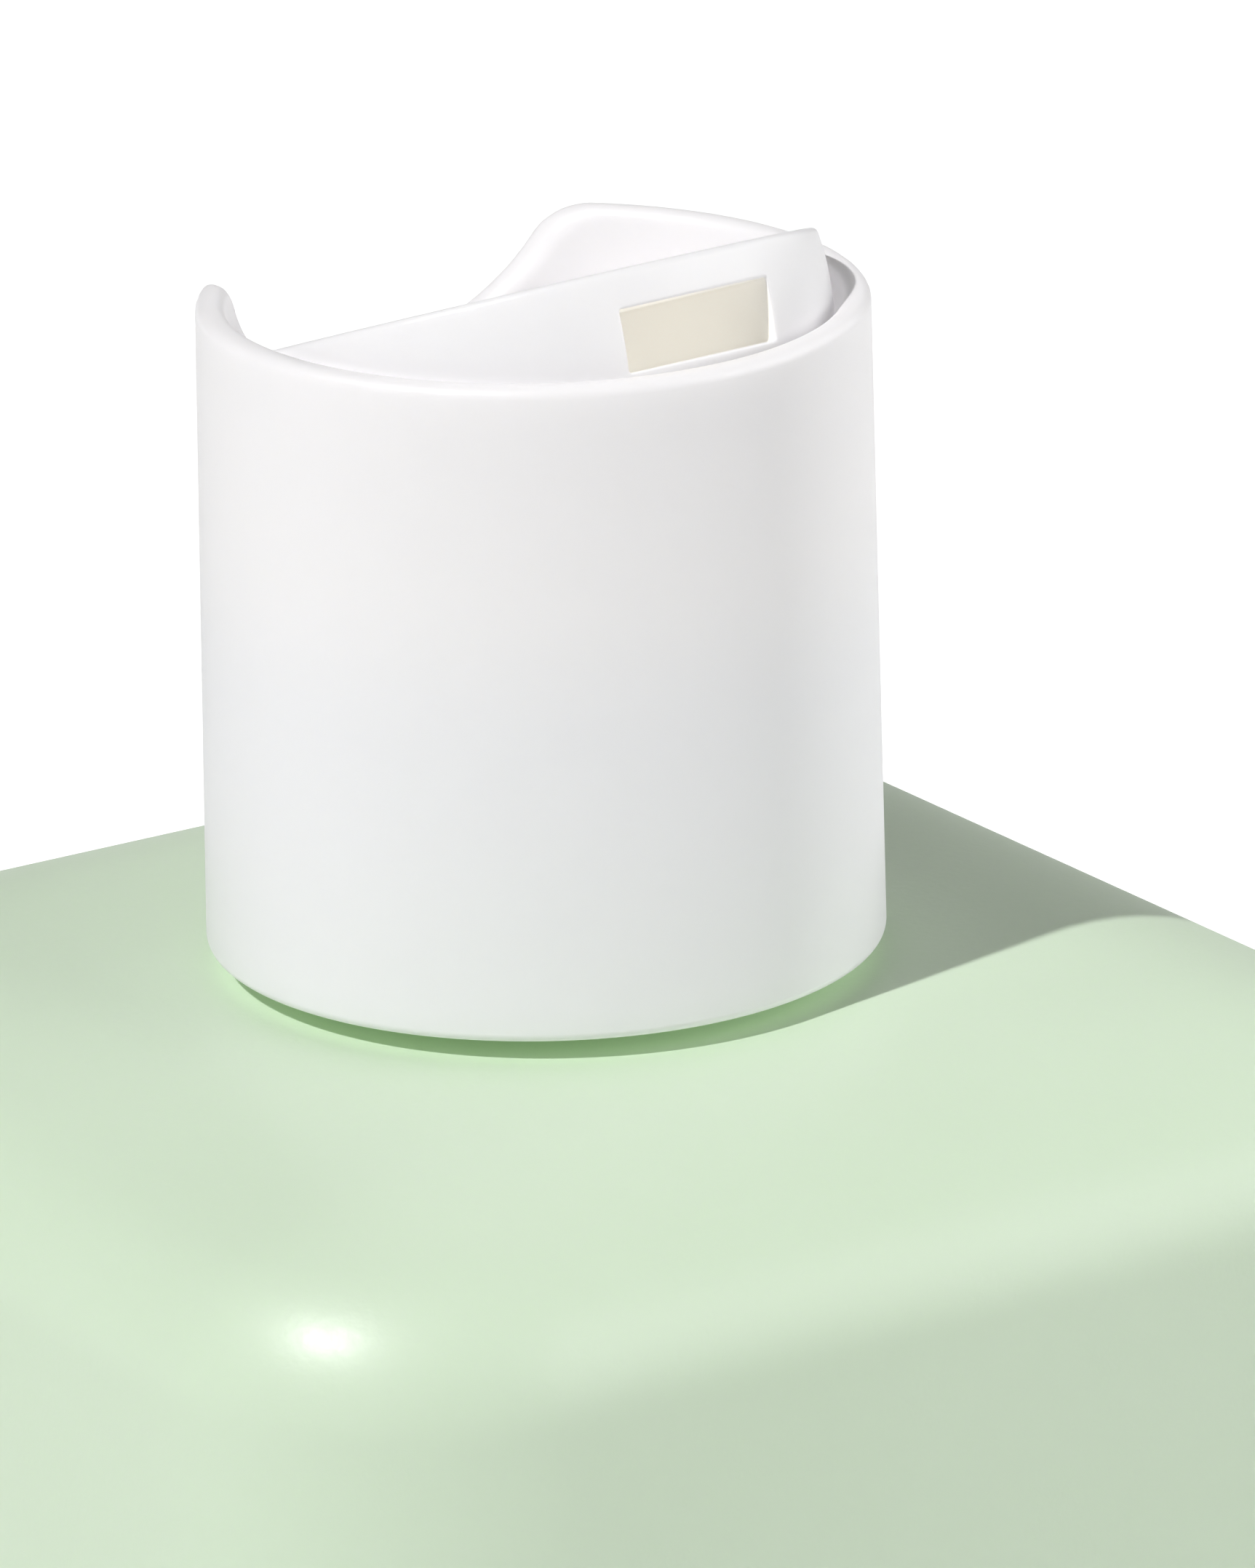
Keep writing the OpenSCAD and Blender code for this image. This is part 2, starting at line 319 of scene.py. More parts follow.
bottle_rings = body_rings(0, NECK_R + NECK_FILLET)
bottle_rings += [round_ring(r, z) for r, z in
                 arc((NECK_R + NECK_FILLET, TOP_Z + NECK_FILLET), NECK_FILLET, -90, -180, 4)[1:]]
thread_zone = thread_heights(thread_z)
bottle_rings += [neck_ring(z) for z in between(TOP_Z + NECK_FILLET, thread_zone[0], 6)[1:-1]]
bottle_rings += [neck_ring(z) for z in thread_zone]
bottle_rings += [round_ring(r, z) for r, z in
                 arc((NECK_R - LAND_ROUND, land_z - LAND_ROUND), LAND_ROUND, 0, 90, 4)]
bottle_rings += [round_ring(r, z) for r, z in
                 arc((BORE_R + LAND_ROUND, land_z - LAND_ROUND), LAND_ROUND, 90, 180, 4)]
bore_low = TOP_Z - WALL - BORE_ROUND
bottle_rings += [round_ring(BORE_R, z) for z in between(land_z - LAND_ROUND, bore_low, 6)[1:-1]]
bottle_rings += [round_ring(r, z) for r, z in
                 arc((BORE_R + BORE_ROUND, bore_low), BORE_ROUND, 180, 90, 4)]
bottle_rings += body_rings(WALL, BORE_R + BORE_ROUND)[-2::-1]
bottle = loft("bottle_shell", bottle_rings)
smooth_shade(bottle)

# %% [markdown]
# The foam liner is a washer punched from PE foam sheet. It sits on the neck's
# land and is squeezed when the cap is screwed down.

# %% The liner
LINER_ROUND = 0.12


def washer_section(low, high, inner, outer, rounding):
    """Section of a washer with rounded edges, as distances out and heights"""
    corners = ((outer, low, -90), (outer, high, 0), (inner, high, 90), (inner, low, 180))
    section = []
    for r, z, start in corners:
        centre = (r - copysign(rounding, r - (inner + outer) / 2),
                  z - copysign(rounding, z - (low + high) / 2))
        section += arc(centre, rounding, start, start + 90, 3)
    return section


liner = loft("foam_liner", [round_ring(r, z) for r, z in washer_section(
    liner_low.z, liner_high.z, BORE_R, liner_high.x, LINER_ROUND)], closed=True)
smooth_shade(liner)

# %% [markdown]
# The cap is injection moulded in PP. Its wall is a lathe form, but the rim dips
# at the back in a scoop for the fingertip. The scoop is cut straight through the
# wall, so the rim's height depends only on how far a point lies to the side. Two
# soft blends lead from the scoop's arc up to the rim.

# %% Height of the cap's rim
RIM_R = 13.75
RIM_T = 1.2
RIM_ROUND = 0.5
SCOOP_R = 8.9
SCOOP_RISE = 2.8
SCOOP_BLEND = 2.2
BLEND_OVER = 0.02
skirt_r = cap_high.x
chamber_r = RIM_R - RIM_T
scoop_z = rim_z + SCOOP_RISE
blend_z = rim_z + BLEND_OVER - SCOOP_BLEND
blend_x = sqrt((SCOOP_R + SCOOP_BLEND) ** 2 - (scoop_z - blend_z) ** 2)
scoop_end = blend_x * SCOOP_R / (SCOOP_R + SCOOP_BLEND)


def rim_height(x, y):
    """Height of the rim over a plan point, lower at the back where the scoop is"""
    x = abs(x)
    if y < 0 or x > blend_x:
        return rim_z
    if x > scoop_end:
        return min(rim_z, blend_z + sqrt(SCOOP_BLEND ** 2 - (blend_x - x) ** 2))
    return scoop_z - sqrt(SCOOP_R ** 2 - x ** 2)


def wall_top(angle, radius):
    """Height of the wall's top at an angle and a radius"""
    return rim_height(radius * cos(angle), radius * sin(angle))


def lean(angle):
    """How much the slope of the rim stretches its rounding upward"""
    step = 0.01
    rise = wall_top(angle + step, chamber_r) - wall_top(angle - step, chamber_r)
    return hypot(1, rise / (2 * step * chamber_r))


print(f"Scoop {2 * blend_x:.1f} mm wide and {rim_z - scoop_z + SCOOP_R:.1f} mm deep")

# %% [markdown]
# The cap's rings go once round its section: up the port in the middle of the
# deck, out over the round valve seat and the deck, up the chamber's wall, over
# the rim, down the outside, in under the lip, up the threaded bore and back
# under the deck. The port is oblong, so the first and last rings are too.

# %% Rings of the cap
CAP_COLUMNS = 288
LINER_ROOM = 1.1                              # between the land and the deck
DECK_T = 1.4
DECK_Z = land_z + LINER_ROOM
DECK_TOP = DECK_Z + DECK_T
FOOT_ROUND = 0.4
LEAD_IN = 0.5
CORNER_FILLET = 0.25
PORT_REACH = 1.05                             # from the middle to the centre of each round end
PORT_R = 1.05
SEAT_LIP = 0.9
CUP_R = 4.1
CUP_ROUND = 0.15
THREAD_GAP = 0.28
cap_angles = [2 * pi * step / CAP_COLUMNS for step in range(CAP_COLUMNS)]
seat_r = hinge_z - DECK_TOP
cap_bore_r = NECK_R + THREAD_DEPTH + THREAD_GAP
cap_thread_z = thread_z - PITCH / 2
lip_r = sqrt(seat_r ** 2 - (seat_r - SEAT_LIP) ** 2)
foot_z = cap_low.z + FOOT_ROUND


def port_ring(z):
    """Oblong ring of the pouring port, long across the cap"""
    ring = []
    for angle in cap_angles:
        c, s = abs(cos(angle)), abs(sin(angle))
        reach = PORT_R / max(s, 1e-9)
        if reach * c > PORT_REACH:
            reach = PORT_REACH * c + sqrt(PORT_R ** 2 - (PORT_REACH * s) ** 2)
        ring.append((reach * cos(angle), reach * sin(angle), z))
    return ring


def on_seat(ring):
    """The same ring, dropped onto the round seat of the valve"""
    return [(x, y, hinge_z - sqrt(seat_r ** 2 - x ** 2 - y ** 2)) for x, y, z in ring]


def cap_ring(radius, z):
    """Round ring of the cap"""
    return round_ring(radius, z, cap_angles)


def skirt_radius(z):
    """Radius of the outside, which tapers a little towards the rim so that it leaves the mould"""
    share = (z - foot_z) / (rim_z - RIM_ROUND - foot_z)
    return skirt_r + (RIM_R - skirt_r) * share


def wall_ring(share, low, radius_at):
    """Ring of a wall below the rounded rim, at a share of its height over low"""
    ring = []
    for angle in cap_angles:
        top = wall_top(angle, radius_at(rim_z)) - RIM_ROUND * lean(angle)
        z = low + share * (top - low)
        ring.append((radius_at(z) * cos(angle), radius_at(z) * sin(angle), z))
    return ring


def rim_ring(radius, side, turn):
    """Ring on the rounding of the rim; side is 1 for the chamber's edge and -1 for the outer one"""
    ring = []
    for angle in cap_angles:
        r = radius + side * RIM_ROUND * (1 - cos(turn))
        z = wall_top(angle, r) - RIM_ROUND * lean(angle) * (1 - sin(turn))
        ring.append((r * cos(angle), r * sin(angle), z))
    return ring


# %% [markdown]
# With the rings described, the cap is one list of them. The thread inside is the
# neck's own rule, half a pitch lower, so that its ridge lies between the neck's.

# %% The cap
def bore_ring(z):
    """Ring of the threaded bore, whose thread stays put when the rest of the cap is turned"""
    radii = [cap_bore_r - THREAD_DEPTH * thread_rise(angle + cap_angle, z, cap_thread_z)
             for angle in cap_angles]
    return [(r * cos(angle), r * sin(angle), z) for r, angle in zip(radii, cap_angles)]


seat_edge = cap_ring(lip_r, 0)
cap_rings = [port_ring(DECK_Z)]
cap_rings += [on_seat(blend_rings(port_ring(0), seat_edge, share)) for share in between(0, 1, 8)]
lip_z = DECK_TOP + SEAT_LIP
cap_rings += [cap_ring(r, z) for r, z in arc(
    (CUP_R - CUP_ROUND, lip_z - CUP_ROUND), CUP_ROUND, 90, 0, 3)]
cap_rings += [cap_ring(r, z) for r, z in arc(
    (CUP_R + CUP_ROUND, DECK_TOP + CUP_ROUND), CUP_ROUND, 180, 270, 3)]
cap_rings += [cap_ring(r, DECK_TOP)
              for r in between(CUP_R + CUP_ROUND, chamber_r - CORNER_FILLET, 6)[1:-1]]
cap_rings += [cap_ring(r, z) for r, z in arc(
    (chamber_r - CORNER_FILLET, DECK_TOP + CORNER_FILLET), CORNER_FILLET, -90, 0, 4)]
cap_rings += [wall_ring(share, DECK_TOP + CORNER_FILLET, lambda z: chamber_r)
              for share in between(0, 1, 12)[1:-1]]
cap_rings += [rim_ring(chamber_r, 1, turn) for turn in between(0, pi / 2, 6)]
cap_rings += [rim_ring(RIM_R, -1, turn) for turn in between(pi / 2, 0, 6)]
cap_rings += [wall_ring(share, foot_z, skirt_radius) for share in between(1, 0, 28)[1:-1]]
cap_rings += [cap_ring(r, z) for r, z in arc(
    (skirt_r - FOOT_ROUND, foot_z), FOOT_ROUND, 0, -90, 8)]
cap_rings += [cap_ring(cap_bore_r + LEAD_IN, cap_low.z), cap_ring(cap_bore_r, cap_low.z + LEAD_IN)]
cap_zone = thread_heights(cap_thread_z)
cap_rings += [bore_ring(z) for z in between(cap_low.z + LEAD_IN, cap_zone[0], 6)[1:-1]]
cap_rings += [bore_ring(z) for z in cap_zone]
cap_rings += [cap_ring(r, z) for r, z in arc(
    (cap_bore_r - CORNER_FILLET, DECK_Z - CORNER_FILLET), CORNER_FILLET, 0, 90, 4)]
cap_rings += [blend_rings(cap_ring(cap_bore_r - CORNER_FILLET, DECK_Z), port_ring(DECK_Z), share)
              for share in between(0, 1, 6)[1:-1]]
cap = loft("cap_moulding", cap_rings, closed=True)

# %% [markdown]
# Some cuts don't follow the rings: the two sockets for the disc's pins, and the
# stops that the closed disc rests on. They are made as tools and combined with
# the cap by Boolean modifiers. Each result is written back as a plain mesh, so
# no tool object is left in the file.

# %% Tools for cuts and joins
def combine(piece, tool, operation):
    """Cut a tool out of a piece, or join it on, and delete the tool"""
    modifier = piece.modifiers.new("combine", "BOOLEAN")
    modifier.operation = operation
    modifier.solver = "EXACT"
    modifier.object = tool
    evaluated = piece.evaluated_get(bpy.context.evaluated_depsgraph_get())
    mesh = bpy.data.meshes.new_from_object(evaluated)
    piece.modifiers.clear()
    piece.data = mesh
    bpy.data.objects.remove(tool)


def move(piece, matrix):
    """Move the points of a piece by a matrix in millimetres"""
    matrix.translation *= MM
    piece.data.transform(matrix)
    return piece


TOOL_COLUMNS = 64
tool_angles = [2 * pi * step / TOOL_COLUMNS for step in range(TOOL_COLUMNS)]


def turned_tool(section):
    """A solid turned from a section of distances out and heights; its ends lie on the axis"""
    rings = [[(0, 0, z)] if r == 0 else round_ring(r, z, tool_angles) for r, z in section]
    return loft("tool", rings)


def slab_tool(low, high):
    """A block between two corners"""
    corners = [(low[0], low[1]), (high[0], low[1]), (high[0], high[1]), (low[0], high[1])]
    middle = [(low[0] + high[0]) / 2, (low[1] + high[1]) / 2]
    return loft("tool", [[(*middle, low[2])], [(x, y, low[2]) for x, y in corners],
                         [(x, y, high[2]) for x, y in corners], [(*middle, high[2])]])


PIN_R = 0.9
PIN_REACH = 0.5                               # how far a pin goes into the wall
SOCKET_GAP = 0.08
SOCKET_DEEPER = 0.1
STOP_ANGLE = radians(40)
STOP_W = 1.2
STOP_L = 1.9
STOP_DROP = 3.9
OVERLAP = 0.2                                 # how far a joined-on tool goes into the piece
pin_tip = chamber_r + PIN_REACH
socket_r = PIN_R + SOCKET_GAP
socket_end = pin_tip + SOCKET_DEEPER

sideways = Matrix.Rotation(pi / 2, 4, "Y")
socket = turned_tool([(0, -socket_end), (socket_r, -socket_end),
                      (socket_r, socket_end), (0, socket_end)])
combine(cap, move(socket, Matrix.Translation((0, 0, hinge_z)) @ sideways), "DIFFERENCE")
for side in (-1, 1):
    stop = slab_tool((-STOP_W / 2, -chamber_r - OVERLAP, DECK_TOP - OVERLAP),
                     (STOP_W / 2, STOP_L - chamber_r, hinge_z - STOP_DROP))
    combine(cap, move(stop, Matrix.Rotation(side * STOP_ANGLE, 4, "Z")), "UNION")
move(cap, Matrix.Rotation(cap_angle, 4, "Z"))
smooth_shade(cap)

# %% [markdown]
# The disc is one moulding too. It is drawn lying closed, with the middle of its
# hinge axis at the origin, because its round side follows a ball about that
# point: that is why it can swing in the chamber with an even gap. Its lower edge
# slopes, deep at the spout and shallow at the back that is pressed down.

# %% Rings of the disc
DISC_COLUMNS = 240
DISC_RISE = 1.6
DISC_PLATE = 1.3
DISC_WALL = 1
FRONT_DROP = 3.6
TOP_ROUND = 0.3
EDGE_ROUND = 0.15
BALL_ROWS = 24
LAND_R = 10.5
DISC_GAP = 0.3                                # between the disc and the chamber
BACK_GAP = 0.3                                # left under the back edge when the disc is open
disc_r = chamber_r - DISC_GAP
back_drop = (hinge_z - DECK_TOP - BACK_GAP - disc_r * sin(open_angle)) / cos(open_angle)
edge_slope = (FRONT_DROP - back_drop) / (2 * disc_r)
edge_mid = (FRONT_DROP + back_drop) / 2
disc_angles = [2 * pi * step / DISC_COLUMNS - pi / 2 for step in range(DISC_COLUMNS)]


def ball_radius(z):
    """Radius of the disc's round side at a height above the hinge axis"""
    return sqrt(disc_r ** 2 - z ** 2)


def edge_height(angle):
    """Height of the disc's sloping lower edge at an angle"""
    z = -edge_mid
    for _ in range(4):
        z = edge_slope * ball_radius(z) * sin(angle) - edge_mid
    return z


round_z = DISC_RISE - TOP_ROUND
round_r = sqrt((disc_r - TOP_ROUND) ** 2 - round_z ** 2)
top_turn = atan2(round_z, round_r)
ball_top = disc_r * sin(top_turn)


def ball_ring(share):
    """Ring on the round side, from its top at 0 to the rounding of its lower edge at 1"""
    ring = []
    for angle in disc_angles:
        z = ball_top + share * (edge_height(angle) + EDGE_ROUND - ball_top)
        ring.append((ball_radius(z) * cos(angle), ball_radius(z) * sin(angle), z))
    return ring


def edge_ring(inward, up):
    """Ring that turns under the lower edge, moved in and up from it"""
    return [((ball_radius(edge_height(angle)) - inward) * cos(angle),
             (ball_radius(edge_height(angle)) - inward) * sin(angle),
             edge_height(angle) + inward * edge_slope * -sin(angle) + up) for angle in disc_angles]


def disc_ring(radius, z):
    """Round ring of the disc"""
    return round_ring(radius, z, disc_angles)


MOUTH_W = 7.3
MOUTH_H = 2.55
MOUTH_DROP = 1.6                              # from the top face down to the mouth
MOUTH_TOP = DISC_RISE - MOUTH_DROP
CHANNEL_WALL = 0.8
CHANNEL_BACK = 2.8
core_z = MOUTH_TOP - MOUTH_H - CHANNEL_WALL

disc_rings = [[(0, 0, DISC_RISE)]]
disc_rings += [disc_ring(r, DISC_RISE) for r in between(0, round_r, 6)[1:-1]]
disc_rings += [disc_ring(r, z) for r, z in
               arc((round_r, round_z), TOP_ROUND, 90, top_turn * 180 / pi, 6)[:-1]]
first_ball_row = len(disc_rings)
disc_rings += [ball_ring(share) for share in between(0, 1, BALL_ROWS)]
disc_rings += [edge_ring(EDGE_ROUND * (1 - cos(turn)), EDGE_ROUND * (1 - sin(turn)))
               for turn in between(0, pi / 2, 3)[1:]]
disc_rings += [edge_ring(ball_radius(edge_mid) - LAND_R, 0), disc_ring(LAND_R - 0.1, core_z),
               [(0, 0, core_z)]]
disc = loft("disc_moulding", disc_rings)

# %% [markdown]
# The spout's mouth is a rectangle with small round corners in the round side. A
# Boolean cut would leave slivers round the most visible hole of the object. So
# the quads inside it are taken out, and rings of points lead from the edge of
# that gap to the mouth, round its edge and in along the channel. Near the mouth
# every point still lies on the ball, so no edge shows where the patch begins.

# %% The mouth and the channel behind it
MOUTH_R = 0.12
MOUTH_EDGE = 0.12
MARGIN = 0.3
half_columns = ceil(asin((MOUTH_W / 2 + MARGIN) / disc_r) / (2 * pi) * DISC_COLUMNS)
row_step = (ball_top - edge_height(-pi / 2) - EDGE_ROUND) / BALL_ROWS
top_row = first_ball_row + int((ball_top - MOUTH_TOP - MARGIN) / row_step)
low_row = first_ball_row + ceil((ball_top - MOUTH_TOP + MOUTH_H + MARGIN) / row_step)


def mouth_point(u, v, grow):
    """Point round the mouth, grown all round; u and v run from -1 to 1 across and up"""
    half = (MOUTH_W / 2 + grow, MOUTH_H / 2 + grow)
    corner = MOUTH_R + grow
    x, z = [sin(share * pi / 2) * reach for share, reach in zip((u, v), half)]
    over = [abs(along) - reach + corner for along, reach in zip((x, z), half)]
    if min(over) > 0:
        stretch = corner / hypot(*over)
        x = copysign(half[0] - corner + over[0] * stretch, x)
        z = copysign(half[1] - corner + over[1] * stretch, z)
    return x, z + MOUTH_TOP - MOUTH_H / 2


def on_ball(x, z):
    """Place on the round side at a distance across and a height"""
    return Vector((x, -sqrt(disc_r ** 2 - x ** 2 - z ** 2), z))


def gap_path():
    """Row and column of each point round the gap, with how far across and up it lies"""
    rows, wide = low_row - top_row, 2 * half_columns
    path = [(low_row, column, 2 * column / wide - 1, -1) for column in range(wide)]
    path += [(low_row - row, wide, 1, 2 * row / rows - 1) for row in range(rows)]
    path += [(top_row, wide - column, 1 - 2 * column / wide, 1) for column in range(wide)]
    path += [(top_row + row, 0, -1, 1 - 2 * row / rows) for row in range(rows)]
    return path


def mouth_rings(gap):
    """Rings from the gap in the round side to the back of the channel"""
    shares = [(u, v) for row, column, u, v in gap_path()]
    edge = [mouth_point(u, v, MOUTH_EDGE) for u, v in shares]
    rings = []
    for share in between(0, 1, 3)[1:]:
        rings.append([on_ball(point.x + share * (x - point.x), point.z + share * (z - point.z))
                      for point, (x, z) in zip(gap, edge)])
    for turn in between(0, pi / 2, 4)[1:]:
        ring = [mouth_point(u, v, MOUTH_EDGE * (1 - sin(turn))) for u, v in shares]
        depth = Vector((0, MOUTH_EDGE * (1 - cos(turn)), 0))
        rings.append([on_ball(x, z) + depth for x, z in ring])
    edge_ring_inside = rings[-1]
    for share in between(0, 1, 10)[1:]:
        rings.append([point.lerp(Vector((point.x, CHANNEL_BACK, point.z)), share)
                      for point in edge_ring_inside])
    return rings


def open_mouth(piece):
    """Take out the quads inside the gap and lead the skin in along the channel"""
    mesh = bmesh.new()
    mesh.from_mesh(piece.data)
    mesh.verts.ensure_lookup_table()
    path = gap_path()
    starts = [sum(len(ring) for ring in disc_rings[:row]) for row in range(len(disc_rings))]

    def grid(row, column):
        return mesh.verts[starts[row] + (column - half_columns) % DISC_COLUMNS]

    border = [grid(row, column) for row, column, u, v in path]
    inside = {grid(row, column) for row in range(top_row + 1, low_row)
              for column in range(1, 2 * half_columns)}
    rings = mouth_rings([vert.co / MM for vert in border])
    bmesh.ops.delete(mesh, geom=list(inside), context="VERTS")
    for ring in rings:
        verts = [mesh.verts.new(point * MM) for point in ring]
        for step in range(len(path)):
            after = (step + 1) % len(path)
            mesh.faces.new((border[step], border[after], verts[after], verts[step]))
        border = verts
    mesh.faces.new(border)
    bmesh.ops.recalc_face_normals(mesh, faces=mesh.faces)
    mesh.to_mesh(piece.data)
    mesh.free()


open_mouth(disc)
print(f"Mouth {MOUTH_W} by {MOUTH_H} mm, channel {CHANNEL_BACK + disc_r:.1f} mm long")

# %% [markdown]
# Under its plate the disc is hollow: a ring of wall, the spout's channel and the
# round post of the valve, whose end is ground to the same ball as its seat. The
# hollow is cut by one tool from which the channel and the post were cut first.

# %% Underside, valve post and pins
POST_R = 3.6
VALVE_GAP = 0.15
PIN_CHAMFER = 0.2
HOLLOW_LOW = -9                               # the tools run well past the disc
CORE_LOW = -12
CORE_HIGH = 1
ball_r = seat_r - VALVE_GAP
hollow_r = disc_r - DISC_WALL
plate_low = DISC_RISE - DISC_PLATE
hollow_side = [(sqrt(hollow_r ** 2 - z ** 2), z)
               for z in between(-FRONT_DROP - 2 * OVERLAP, plate_low, 16)]
hollow = turned_tool([(0, HOLLOW_LOW), (hollow_side[0][0], HOLLOW_LOW)]
                     + hollow_side + [(0, plate_low)])
channel = slab_tool((-MOUTH_W / 2 - CHANNEL_WALL, -disc_r - 1, CORE_LOW),
                    (MOUTH_W / 2 + CHANNEL_WALL, POST_R + CHANNEL_WALL, CORE_HIGH))
post = turned_tool([(0, CORE_LOW), (POST_R, CORE_LOW), (POST_R, CORE_HIGH), (0, CORE_HIGH)])
combine(hollow, channel, "DIFFERENCE")
combine(hollow, post, "DIFFERENCE")
combine(disc, hollow, "DIFFERENCE")

post_end = asin(POST_R / ball_r) * 180 / pi
post_section = arc((0, 0), ball_r, -90, -90 + post_end, 8)
post_section[0] = (0, -ball_r)
post_top = core_z + CHANNEL_WALL / 2
combine(disc, turned_tool(post_section + [(POST_R, post_top), (0, post_top)]), "UNION")
for side in (-1, 1):
    pin = turned_tool([(0, hollow_r), (PIN_R, hollow_r), (PIN_R, pin_tip - PIN_CHAMFER),
                       (PIN_R - PIN_CHAMFER, pin_tip), (0, pin_tip)])
    combine(disc, move(pin, Matrix.Rotation(side * pi / 2, 4, "Y")), "UNION")

port_mid = MOUTH_TOP - MOUTH_H / 2
port = loft("tool", [[(0, 0, -seat_r)], [(x, y, -seat_r) for x, y, z in port_ring(0)],
                     [(x, y, port_mid) for x, y, z in port_ring(0)], [(0, 0, port_mid)]])
combine(disc, move(port, Matrix.Rotation(open_angle, 4, "X")), "DIFFERENCE")

# %% [markdown]
# The finished disc is tipped open about its pins and set in the cap. A face
# takes the channel's finish where it lies inside the mouth, and the plain one
# elsewhere.

# %% The disc in its place
def in_channel(point):
    """Whether a point in metres, on the closed disc, lies on the wall of the channel"""
    x, y, z = point / MM
    if abs(x) > MOUTH_W / 2 + 0.01 or not -MOUTH_H - 0.01 < z - MOUTH_TOP < 0.01:
        return False
    return on_ball(x, z).y + 2 * MOUTH_EDGE < y < POST_R


channel_faces = [face.index for face in disc.data.polygons if in_channel(face.center)]
tipped = Matrix.Rotation(cap_angle, 4, "Z") @ Matrix.Rotation(-open_angle, 4, "X")
move(disc, Matrix.Translation((0, 0, hinge_z)) @ tipped)
smooth_shade(disc)
print(len(channel_faces), "faces line the channel")

# %% [markdown]
# Colours are picked as the eye sees them, as sRGB hex values, but Blender's
# light works on linear ones. One function turns the first into the second, and
# another adds a shader node with its settings and links, so that each material
# below reads as a short list.

# %% Colour and node helpers
def colour(hex_value):
    """Linear RGBA from an sRGB hex value"""
    parts = [int(hex_value[start:start + 2], 16) / 255 for start in (1, 3, 5)]
    return (*[part / 12.92 if part <= 0.04045 else ((part + 0.055) / 1.055) ** 2.4
              for part in parts], 1)


def add_node(tree, kind, settings=None):
    """Add a node; a setting is a property, or the value or link of an input by name or number"""
    node = tree.nodes.new(kind)
    for name, value in (settings or {}).items():
        if isinstance(name, str) and name not in node.inputs:
            setattr(node, name, value)
        elif isinstance(value, bpy.types.NodeSocket):
            tree.links.new(value, node.inputs[name])
        else:
            node.inputs[name].default_value = value
    return node


def per_mm(size):
    """Scale of a pattern whose marks are a number of millimetres apart"""
    return 1 / (size * MM)


def new_material(name):
    """An empty material with its node tree and the place of a point on the piece"""
    material = bpy.data.materials.new(name)
    material.use_nodes = True
    tree = material.node_tree
    tree.nodes.clear()
    return material, tree, add_node(tree, "ShaderNodeTexCoord").outputs["Object"]


# %% [markdown]
# Light that bounces between the parts, and through the milky plastic, keeps corners and gaps from
# going black: they fill with the plastic's own colour. Following that light between the parts and
# through thin walls takes many rays, so each plastic has a painted glow instead: an emission where
# an Ambient Occlusion node finds the surroundings hidden. The power keeps the glow out of the
# shallow corners and in the deep ones.

# %% Painted glow in corners
DEEP = 3


def painted_corner_glow(tree, reach, hex_value):
    """Colour of the painted glow that stands in for bounced light: black in the open, the given
    colour in a closed corner
    """
    open_share = add_node(tree, "ShaderNodeAmbientOcclusion", {
        "samples": 8, "Distance": reach * MM})
    hidden = add_node(tree, "ShaderNodeMath", {
        "operation": "SUBTRACT", 0: 1.0, 1: open_share.outputs["AO"]})
    steep = add_node(tree, "ShaderNodeMath", {
        "operation": "POWER", 0: hidden.outputs[0], 1: DEEP})
    glow = add_node(tree, "ShaderNodeMix", {
        "data_type": "RGBA", 0: steep.outputs[0], 6: colour("#000000"), 7: colour(hex_value)})
    return glow.outputs[2]


# %% [markdown]
# The bottle is pigmented HDPE. Its mould is sand-blasted so that the air can
# leave it, and the blown skin copies that: a fine grain that turns the
# highlights satin. HDPE is a little milky, so light goes in a short way and
# comes out soft. Thickness varies slightly from place to place, which shows as a
# faint unevenness of tone and as broad shallow waves in the reflections.

# %% HDPE, blow-moulded, pale green
def hdpe_blow_moulded():
    material, tree, at = new_material("HDPE blow-moulded pale green")
    tone = add_node(tree, "ShaderNodeTexNoise", {"Vector": at, "Scale": per_mm(18), "Detail": 2})
    shade = add_node(tree, "ShaderNodeMix", {
        "data_type": "RGBA", 0: tone.outputs["Fac"], 6: colour("#CDDFC5"), 7: colour("#D2E3CB")})
    waves = add_node(tree, "ShaderNodeTexNoise", {"Vector": at, "Scale": per_mm(11), "Detail": 1})
    grain = add_node(tree, "ShaderNodeTexNoise", {"Vector": at, "Scale": per_mm(0.4), "Detail": 2})
    soft = add_node(tree, "ShaderNodeBump", {
        "Strength": 0.4, "Distance": 0.06 * MM, "Height": waves.outputs["Fac"]})
    fine = add_node(tree, "ShaderNodeBump", {
        "Strength": 0.35, "Distance": 0.03 * MM, "Height": grain.outputs["Fac"],
        "Normal": soft.outputs["Normal"]})
    gloss = add_node(tree, "ShaderNodeMapRange", {
        "Value": grain.outputs["Fac"], "To Min": 0.36, "To Max": 0.46})
    skin = add_node(tree, "ShaderNodeBsdfPrincipled", {
        "Base Color": shade.outputs[2], "Roughness": gloss.outputs["Result"], "IOR": 1.54,
        "Subsurface Weight": 0.15, "Subsurface Radius": (0.8, 1, 0.6), "Subsurface Scale": 0.8 * MM,
        # painted glow: a green emission in the gap under the cap and other deep corners, standing
        # in for bounced light
        "Emission Color": painted_corner_glow(tree, 2.5, "#74A650"), "Emission Strength": 0.55,
        "Normal": fine.outputs["Normal"]})
    add_node(tree, "ShaderNodeOutputMaterial", {"Surface": skin.outputs["BSDF"]})
    return material


# %% [markdown]
# The cap and the disc are white PP, injection moulded in polished steel. PP shrinks as it cools, so
# even a polished wall has a slight unevenness, and the finish is between satin and gloss. A wall
# that stands free lets light through and looks whiter than one with the deck or the neck close
# behind it. That light is painted as shade: the base colour is a little darker below the height of
# the deck.

# %% PP, injection-moulded, white
# painted shade: between these heights over the cap's foot, the base colour turns from the darker
# tone to the lighter one
PAINTED_SHADE_BELOW = 12                             # heights over the foot of the cap
PAINTED_LIT_ABOVE = 20


